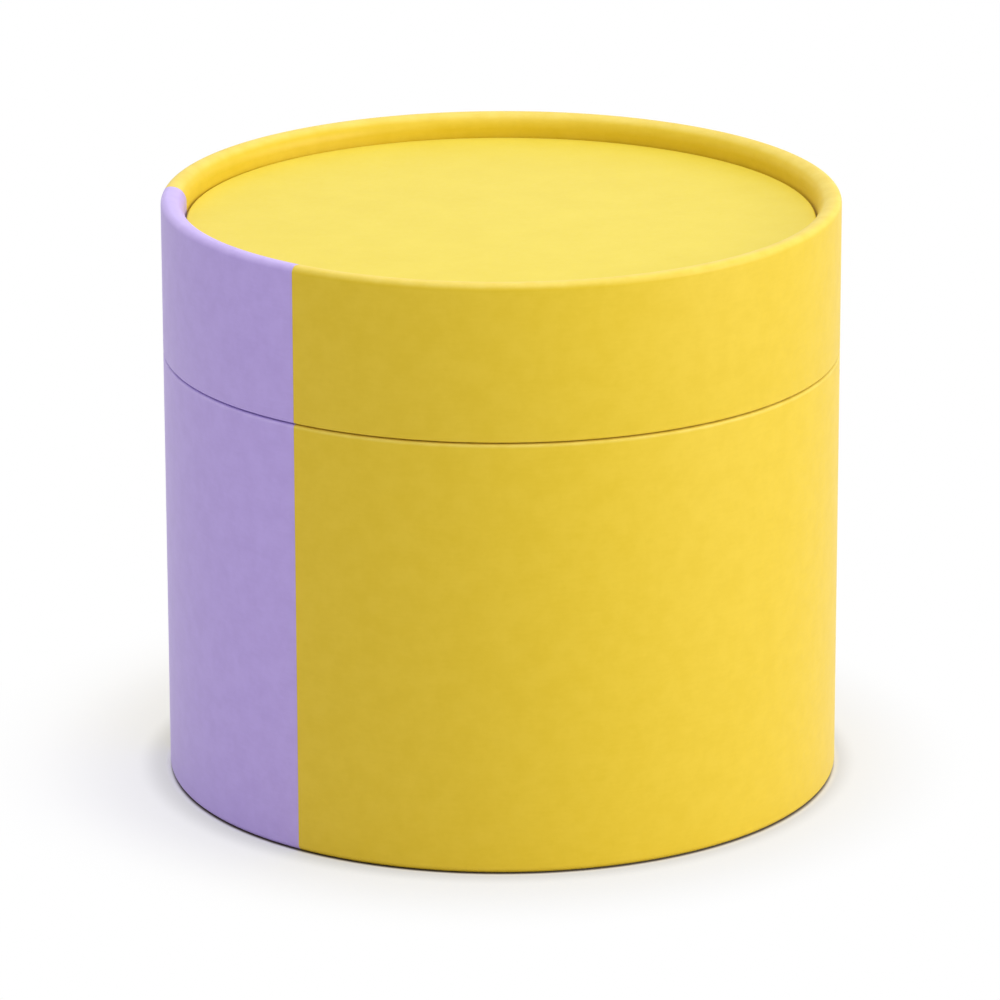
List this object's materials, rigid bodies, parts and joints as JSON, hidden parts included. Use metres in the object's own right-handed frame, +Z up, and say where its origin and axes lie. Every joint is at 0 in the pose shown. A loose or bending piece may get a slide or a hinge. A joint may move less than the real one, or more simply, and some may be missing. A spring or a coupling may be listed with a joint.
{
  "type": "cylindrical gift tube box",
  "caption": "Short round gift box of wound paperboard in matte yellow with a lilac band, its lid sliding over an inner neck and topped by a rolled rim round a sunk panel.",
  "frame": {"origin": "centre of the foot ring, on the surface the box stands on", "axes": "+Z up along the tube's axis, -Y towards the viewer of the picture, +X to that viewer's right"},
  "size_m": [0.1, 0.1, 0.0879],
  "materials": {
    "yellow_paper": "uncoated matte, warm yellow, fine mottled fibre",
    "lilac_paper": "uncoated matte, lilac, fine mottled fibre",
    "white_paper": "uncoated matte, natural white",
    "tube_board": "bare wound grey-brown board of about 0.8 g/cm3"
  },
  "bodies": {
    "base": {"base_tube": "tube_board", "base_wrap_yellow": "yellow_paper", "base_wrap_lilac": "lilac_paper", "base_disc": "tube_board", "base_under_paper": "white_paper", "neck_tube": "tube_board", "neck_cover": "white_paper", "neck_lining": "white_paper", "base_floor_paper": "white_paper"},
    "lid_carrier": {"lid_disc": "tube_board"},
    "lid": {"lid_tube": "tube_board", "lid_wrap_yellow": "yellow_paper", "lid_wrap_lilac": "lilac_paper", "lid_lining": "white_paper", "lid_ceiling_paper": "white_paper", "lid_panel_card": "tube_board", "lid_panel_paper": "yellow_paper"}
  },
  "joints": [
    {"name": "lid_lift", "type": "slide", "parent": "base", "child": "lid_carrier", "axis": [0, 0, 1], "range_m": [0, 0.06]},
    {"name": "lid_turn", "type": "hinge", "parent": "lid_carrier", "child": "lid", "pos_m": [0, 0, 0.0824], "axis": [0, 0, 1], "continuous": true}
  ]
}
